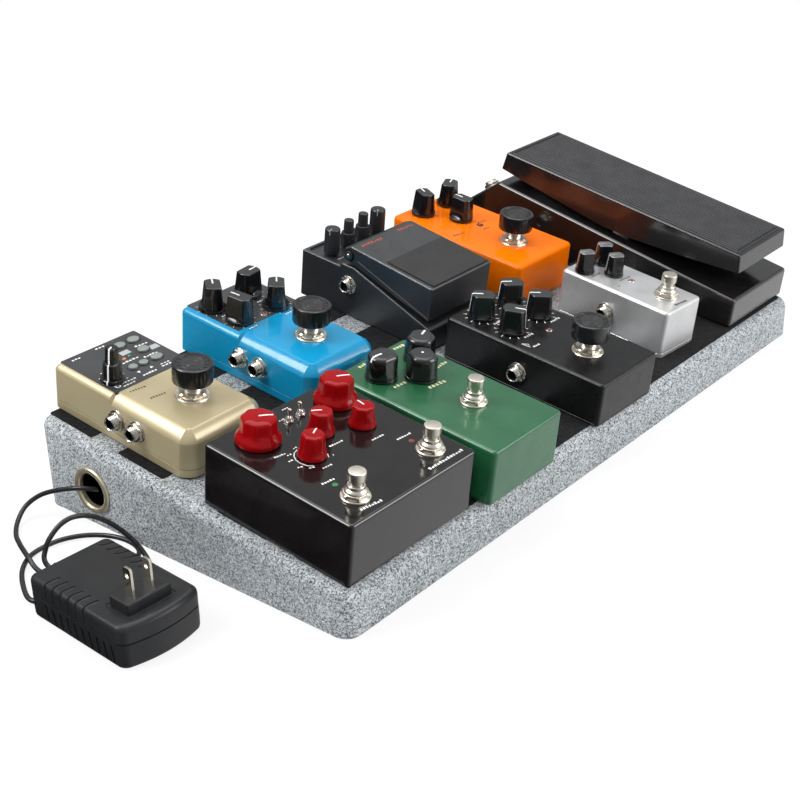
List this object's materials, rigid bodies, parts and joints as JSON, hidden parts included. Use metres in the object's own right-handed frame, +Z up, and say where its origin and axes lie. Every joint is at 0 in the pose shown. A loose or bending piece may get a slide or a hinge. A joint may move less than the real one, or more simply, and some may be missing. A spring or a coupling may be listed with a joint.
{
  "type": "guitar effects pedalboard",
  "caption": "Sloped speckled pedalboard carrying several effect pedals with turning knobs and foot switches, a rocking wah pedal, and a plug-in mains adapter on a looped cord.",
  "frame": {"origin": "on the floor under the middle of the board, on the foot of its stiffening rib", "axes": "+X to the player's right along the board, +Y away from the player towards the board's high edge, +Z up"},
  "size_m": [0.6023, 0.2595, 0.1245],
  "materials": {
    "board_granite": "moulded light grey speckled board with black hook strips",
    "grommet_brass": "satin grommet",
    "cord_black": "soft black cord",
    "adapter_black": "fine-grained black plastic with nickel blades",
    "gold_paint": "satin champagne",
    "blue_paint": "gloss blue",
    "black_gloss": "gloss black",
    "green_paint": "satin green",
    "orange_paint": "gloss orange",
    "black_satin": "satin black",
    "silver_paint": "satin silver",
    "charcoal_cast": "charcoal hammered casting",
    "knob_black": "black with a pale pointer line",
    "knob_red": "gloss red with a pale pointer line",
    "knob_grey": "dark grey with a lighter cap",
    "switch_metal": "nickel plate",
    "topper_black": "black cap with raised rings",
    "button_grey": "soft grey"
  },
  "bodies": {
    "board": {"board": "board_granite", "grommet": "grommet_brass", "cord": "cord_black", "adapter": "adapter_black", "blue_case": "blue_paint", "delay_case": "black_gloss", "gain_case": "black_satin", "gold_case": "gold_paint", "green_case": "green_paint", "orange_case": "orange_paint", "silver_case": "silver_paint", "compact_base": "charcoal_cast", "wah_base": "black_gloss"},
    "blue_footswitch": {"blue_footswitch": "topper_black"},
    "blue_knob_level": {"blue_knob_level": "knob_black"},
    "blue_knob_mix": {"blue_knob_mix": "knob_black"},
    "blue_knob_speed": {"blue_knob_speed": "knob_black"},
    "blue_knob_tone": {"blue_knob_tone": "knob_black"},
    "compact_eq_a_inner": {"compact_eq_a_inner": "knob_black"},
    "compact_eq_a_outer": {"compact_eq_a_outer": "knob_black"},
    "compact_eq_b_inner": {"compact_eq_b_inner": "knob_black"},
    "compact_eq_b_outer": {"compact_eq_b_outer": "knob_black"},
    "compact_knob_dist": {"compact_knob_dist": "knob_black"},
    "compact_knob_level": {"compact_knob_level": "knob_black"},
    "compact_treadle": {"compact_treadle": "charcoal_cast"},
    "delay_footswitch_left": {"delay_footswitch_left": "switch_metal"},
    "delay_footswitch_right": {"delay_footswitch_right": "switch_metal"},
    "delay_knob_decay": {"delay_knob_decay": "knob_red"},
    "delay_knob_level": {"delay_knob_level": "knob_red"},
    "delay_knob_repeat": {"delay_knob_repeat": "knob_red"},
    "delay_knob_reverb": {"delay_knob_reverb": "knob_red"},
    "delay_knob_time": {"delay_knob_time": "knob_red"},
    "delay_toggle_left": {"delay_toggle_left": "switch_metal"},
    "delay_toggle_right": {"delay_toggle_right": "switch_metal"},
    "gain_footswitch": {"gain_footswitch": "topper_black"},
    "gain_knob_front_left": {"gain_knob_front_left": "knob_black"},
    "gain_knob_front_right": {"gain_knob_front_right": "knob_black"},
    "gain_knob_rear_left": {"gain_knob_rear_left": "knob_black"},
    "gain_knob_rear_right": {"gain_knob_rear_right": "knob_black"},
    "gold_button_down": {"gold_button_down": "button_grey"},
    "gold_button_mode": {"gold_button_mode": "button_grey"},
    "gold_button_mute": {"gold_button_mute": "button_grey"},
    "gold_button_phase": {"gold_button_phase": "button_grey"},
    "gold_button_tune": {"gold_button_tune": "button_grey"},
    "gold_button_up": {"gold_button_up": "button_grey"},
    "gold_footswitch": {"gold_footswitch": "topper_black"},
    "gold_knob_level": {"gold_knob_level": "knob_black"},
    "green_footswitch": {"green_footswitch": "switch_metal"},
    "green_knob_front": {"green_knob_front": "knob_black"},
    "green_knob_left": {"green_knob_left": "knob_black"},
    "green_knob_right": {"green_knob_right": "knob_black"},
    "orange_footswitch": {"orange_footswitch": "topper_black"},
    "orange_knob_front": {"orange_knob_front": "knob_black"},
    "orange_knob_left": {"orange_knob_left": "knob_black"},
    "orange_knob_right": {"orange_knob_right": "knob_black"},
    "silver_footswitch": {"silver_footswitch": "switch_metal"},
    "silver_knob_front": {"silver_knob_front": "knob_grey"},
    "silver_knob_left": {"silver_knob_left": "knob_grey"},
    "silver_knob_right": {"silver_knob_right": "knob_grey"},
    "wah_treadle": {"wah_treadle": "black_gloss"}
  },
  "joints": [
    {"name": "blue_footswitch_press", "type": "slide", "parent": "board", "child": "blue_footswitch", "axis": [0, 0.1265, -0.992], "range_m": [0, 0.002], "stiffness_N_per_m": 1500},
    {"name": "blue_knob_level_turn", "type": "hinge", "parent": "board", "child": "blue_knob_level", "pos_m": [-0.1222, 0.1055, 0.09011], "axis": [0, -0.1265, 0.992], "range_deg": [-150, 150]},
    {"name": "blue_knob_mix_turn", "type": "hinge", "parent": "board", "child": "blue_knob_mix", "pos_m": [-0.0892, 0.0801, 0.08687], "axis": [0, -0.1265, 0.992], "range_deg": [-150, 150]},
    {"name": "blue_knob_speed_turn", "type": "hinge", "parent": "board", "child": "blue_knob_speed", "pos_m": [-0.121, 0.08209, 0.08713], "axis": [0, -0.1265, 0.992], "range_deg": [-150, 150]},
    {"name": "blue_knob_tone_turn", "type": "hinge", "parent": "board", "child": "blue_knob_tone", "pos_m": [-0.0906, 0.10401, 0.08992], "axis": [0, -0.1265, 0.992], "range_deg": [-150, 150]},
    {"name": "compact_eq_a_inner_turn", "type": "hinge", "parent": "board", "child": "compact_eq_a_inner", "pos_m": [0.0114, 0.10421, 0.09388], "axis": [0, -0.1265, 0.992], "range_deg": [-150, 150]},
    {"name": "compact_eq_a_outer_turn", "type": "hinge", "parent": "board", "child": "compact_eq_a_outer", "pos_m": [0.0114, 0.10421, 0.09388], "axis": [0, -0.1265, 0.992], "range_deg": [-150, 150]},
    {"name": "compact_eq_b_inner_turn", "type": "hinge", "parent": "board", "child": "compact_eq_b_inner", "pos_m": [0.028, 0.10501, 0.09398], "axis": [0, -0.1265, 0.992], "range_deg": [-150, 150]},
    {"name": "compact_eq_b_outer_turn", "type": "hinge", "parent": "board", "child": "compact_eq_b_outer", "pos_m": [0.028, 0.10501, 0.09398], "axis": [0, -0.1265, 0.992], "range_deg": [-150, 150]},
    {"name": "compact_knob_dist_turn", "type": "hinge", "parent": "board", "child": "compact_knob_dist", "pos_m": [0.0441, 0.10471, 0.09394], "axis": [0, -0.1265, 0.992], "range_deg": [-150, 150]},
    {"name": "compact_knob_level_turn", "type": "hinge", "parent": "board", "child": "compact_knob_level", "pos_m": [-0.0059, 0.10421, 0.09388], "axis": [0, -0.1265, 0.992], "range_deg": [-150, 150]},
    {"name": "compact_treadle_press", "type": "hinge", "parent": "board", "child": "compact_treadle", "pos_m": [0.0168, 0.07791, 0.10091], "axis": [1, 0, 0], "range_deg": [0, 2.5], "stiffness_Nm_per_rad": 3},
    {"name": "delay_footswitch_left_press", "type": "slide", "parent": "board", "child": "delay_footswitch_left", "axis": [0, 0.1265, -0.992], "range_m": [0, 0.002], "stiffness_N_per_m": 1500},
    {"name": "delay_footswitch_right_press", "type": "slide", "parent": "board", "child": "delay_footswitch_right", "axis": [0, 0.1265, -0.992], "range_m": [0, 0.002], "stiffness_N_per_m": 1500},
    {"name": "delay_knob_decay_turn", "type": "hinge", "parent": "board", "child": "delay_knob_decay", "pos_m": [-0.1689, -0.06354, 0.07653], "axis": [0, -0.1265, 0.992], "range_deg": [-150, 150]},
    {"name": "delay_knob_level_turn", "type": "hinge", "parent": "board", "child": "delay_knob_level", "pos_m": [-0.2246, -0.03487, 0.08018], "axis": [0, -0.1265, 0.992], "range_deg": [-150, 150]},
    {"name": "delay_knob_repeat_turn", "type": "hinge", "parent": "board", "child": "delay_knob_repeat", "pos_m": [-0.1929, -0.05283, 0.07789], "axis": [0, -0.1265, 0.992], "range_deg": [-150, 150]},
    {"name": "delay_knob_reverb_turn", "type": "hinge", "parent": "board", "child": "delay_knob_reverb", "pos_m": [-0.1608, -0.03596, 0.08004], "axis": [0, -0.1265, 0.992], "range_deg": [-150, 150]},
    {"name": "delay_knob_time_turn", "type": "hinge", "parent": "board", "child": "delay_knob_time", "pos_m": [-0.2142, -0.06582, 0.07623], "axis": [0, -0.1265, 0.992], "range_deg": [-150, 150]},
    {"name": "delay_toggle_left_flip", "type": "hinge", "parent": "board", "child": "delay_toggle_left", "pos_m": [-0.1973, -0.03319, 0.08281], "axis": [1, 0, 0], "range_deg": [-12, 12]},
    {"name": "delay_toggle_right_flip", "type": "hinge", "parent": "board", "child": "delay_toggle_right", "pos_m": [-0.1869, -0.0325, 0.0829], "axis": [1, 0, 0], "range_deg": [0, 24]},
    {"name": "gain_footswitch_press", "type": "slide", "parent": "board", "child": "gain_footswitch", "axis": [0, 0.1265, -0.992], "range_m": [0, 0.002], "stiffness_N_per_m": 1500},
    {"name": "gain_knob_front_left_turn", "type": "hinge", "parent": "board", "child": "gain_knob_front_left", "pos_m": [0.0027, -0.04634, 0.06975], "axis": [0, -0.1265, 0.992], "range_deg": [-150, 150]},
    {"name": "gain_knob_front_right_turn", "type": "hinge", "parent": "board", "child": "gain_knob_front_right", "pos_m": [0.0342, -0.04575, 0.06982], "axis": [0, -0.1265, 0.992], "range_deg": [-150, 150]},
    {"name": "gain_knob_rear_left_turn", "type": "hinge", "parent": "board", "child": "gain_knob_rear_left", "pos_m": [0.0038, -0.02055, 0.07303], "axis": [0, -0.1265, 0.992], "range_deg": [-150, 150]},
    {"name": "gain_knob_rear_right_turn", "type": "hinge", "parent": "board", "child": "gain_knob_rear_right", "pos_m": [0.0335, -0.02254, 0.07278], "axis": [0, -0.1265, 0.992], "range_deg": [-150, 150]},
    {"name": "gold_button_down_press", "type": "slide", "parent": "board", "child": "gold_button_down", "axis": [0, 0.1265, -0.992], "range_m": [0, 0.0008], "stiffness_N_per_m": 400},
    {"name": "gold_button_mode_press", "type": "slide", "parent": "board", "child": "gold_button_mode", "axis": [0, 0.1265, -0.992], "range_m": [0, 0.0008], "stiffness_N_per_m": 400},
    {"name": "gold_button_mute_press", "type": "slide", "parent": "board", "child": "gold_button_mute", "axis": [0, 0.1265, -0.992], "range_m": [0, 0.0008], "stiffness_N_per_m": 400},
    {"name": "gold_button_phase_press", "type": "slide", "parent": "board", "child": "gold_button_phase", "axis": [0, 0.1265, -0.992], "range_m": [0, 0.0008], "stiffness_N_per_m": 400},
    {"name": "gold_button_tune_press", "type": "slide", "parent": "board", "child": "gold_button_tune", "axis": [0, 0.1265, -0.992], "range_m": [0, 0.0008], "stiffness_N_per_m": 400},
    {"name": "gold_button_up_press", "type": "slide", "parent": "board", "child": "gold_button_up", "axis": [0, 0.1265, -0.992], "range_m": [0, 0.0008], "stiffness_N_per_m": 400},
    {"name": "gold_footswitch_press", "type": "slide", "parent": "board", "child": "gold_footswitch", "axis": [0, 0.1265, -0.992], "range_m": [0, 0.002], "stiffness_N_per_m": 1500},
    {"name": "gold_knob_level_turn", "type": "hinge", "parent": "board", "child": "gold_knob_level", "pos_m": [-0.229, 0.08196, 0.0858], "axis": [0, -0.1265, 0.992], "range_deg": [-150, 150]},
    {"name": "green_footswitch_press", "type": "slide", "parent": "board", "child": "green_footswitch", "axis": [0, 0.1265, -0.992], "range_m": [0, 0.002], "stiffness_N_per_m": 1500},
    {"name": "green_knob_front_turn", "type": "hinge", "parent": "board", "child": "green_knob_front", "pos_m": [-0.0979, -0.04989, 0.07544], "axis": [0, -0.1265, 0.992], "range_deg": [-150, 150]},
    {"name": "green_knob_left_turn", "type": "hinge", "parent": "board", "child": "green_knob_left", "pos_m": [-0.1162, -0.03343, 0.07754], "axis": [0, -0.1265, 0.992], "range_deg": [-150, 150]},
    {"name": "green_knob_right_turn", "type": "hinge", "parent": "board", "child": "green_knob_right", "pos_m": [-0.081, -0.03501, 0.07734], "axis": [0, -0.1265, 0.992], "range_deg": [-150, 150]},
    {"name": "orange_footswitch_press", "type": "slide", "parent": "board", "child": "orange_footswitch", "axis": [0, 0.1265, -0.992], "range_m": [0, 0.002], "stiffness_N_per_m": 1500},
    {"name": "orange_knob_front_turn", "type": "hinge", "parent": "board", "child": "orange_knob_front", "pos_m": [0.114, 0.08044, 0.08903], "axis": [0, -0.1265, 0.992], "range_deg": [-150, 150]},
    {"name": "orange_knob_left_turn", "type": "hinge", "parent": "board", "child": "orange_knob_left", "pos_m": [0.1, 0.10563, 0.09225], "axis": [0, -0.1265, 0.992], "range_deg": [-150, 150]},
    {"name": "orange_knob_right_turn", "type": "hinge", "parent": "board", "child": "orange_knob_right", "pos_m": [0.129, 0.10444, 0.09209], "axis": [0, -0.1265, 0.992], "range_deg": [-150, 150]},
    {"name": "silver_footswitch_press", "type": "slide", "parent": "board", "child": "silver_footswitch", "axis": [0, 0.1265, -0.992], "range_m": [0, 0.002], "stiffness_N_per_m": 1500},
    {"name": "silver_knob_front_turn", "type": "hinge", "parent": "board", "child": "silver_knob_front", "pos_m": [0.1186, -0.05218, 0.07364], "axis": [0, -0.1265, 0.992], "range_deg": [-150, 150]},
    {"name": "silver_knob_left_turn", "type": "hinge", "parent": "board", "child": "silver_knob_left", "pos_m": [0.1069, -0.03532, 0.07579], "axis": [0, -0.1265, 0.992], "range_deg": [-150, 150]},
    {"name": "silver_knob_right_turn", "type": "hinge", "parent": "board", "child": "silver_knob_right", "pos_m": [0.1281, -0.03701, 0.07557], "axis": [0, -0.1265, 0.992], "range_deg": [-150, 150]},
    {"name": "wah_treadle_rock", "type": "hinge", "parent": "board", "child": "wah_treadle", "pos_m": [0.2123, -0.01892, 0.08554], "axis": [1, 0, 0], "range_deg": [-4, 9]}
  ]
}
